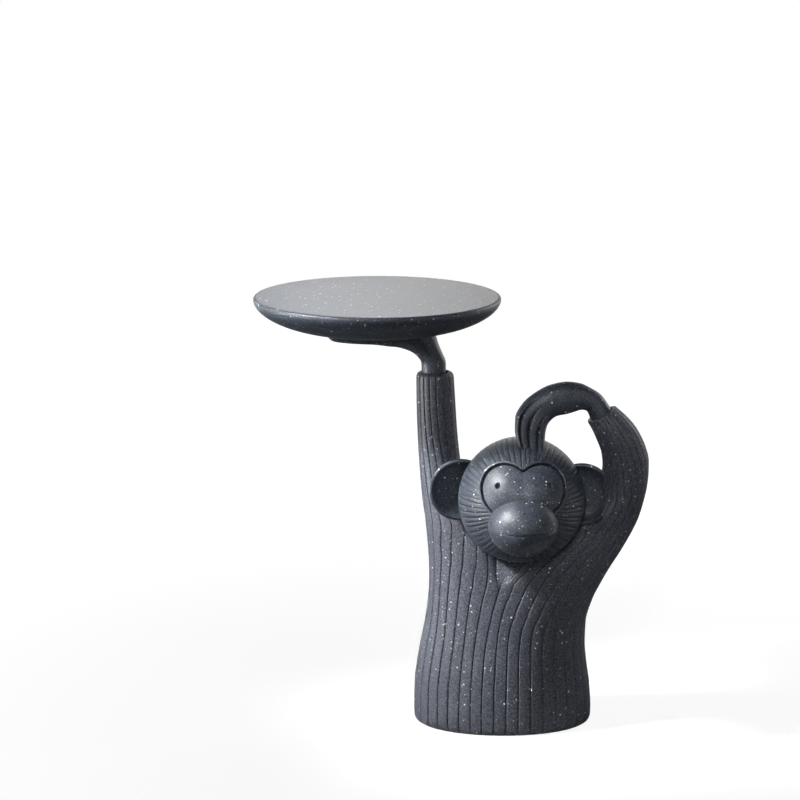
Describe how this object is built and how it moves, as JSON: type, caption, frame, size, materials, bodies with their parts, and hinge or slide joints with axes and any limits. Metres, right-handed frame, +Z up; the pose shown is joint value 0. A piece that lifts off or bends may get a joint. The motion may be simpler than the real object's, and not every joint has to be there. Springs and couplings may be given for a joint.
{
  "type": "figure side table",
  "caption": "Cast figure side table: a ribbed monkey torso holds a round tray on one raised palm, the other arm bends back so its hand rests on the round head.",
  "frame": {"origin": "on the floor, at the middle of the oval base", "axes": "+Z up, -Y to the front that the face looks to, -X to the side of the raised arm and tray"},
  "size_m": [0.5732, 0.371, 0.64],
  "materials": {
    "cast_stone": "matt dark cast stone with fine pale grit",
    "steel": "plain bright drawn steel",
    "rubber": "matt black"
  },
  "bodies": {
    "root": {"torso_casting": "cast_stone", "head_casting": "cast_stone", "face_mask": "cast_stone", "muzzle": "cast_stone", "left_ear": "cast_stone", "right_ear": "cast_stone", "tray": "cast_stone", "tray_hand": "cast_stone", "head_hand": "cast_stone", "arm_rod": "steel", "wrist_dowel": "steel", "neck_dowel": "steel", "ear_pins": "steel", "tray_insert": "steel", "tray_screw": "steel", "tray_pin": "steel", "base_pad": "rubber"}
  },
  "joints": []
}
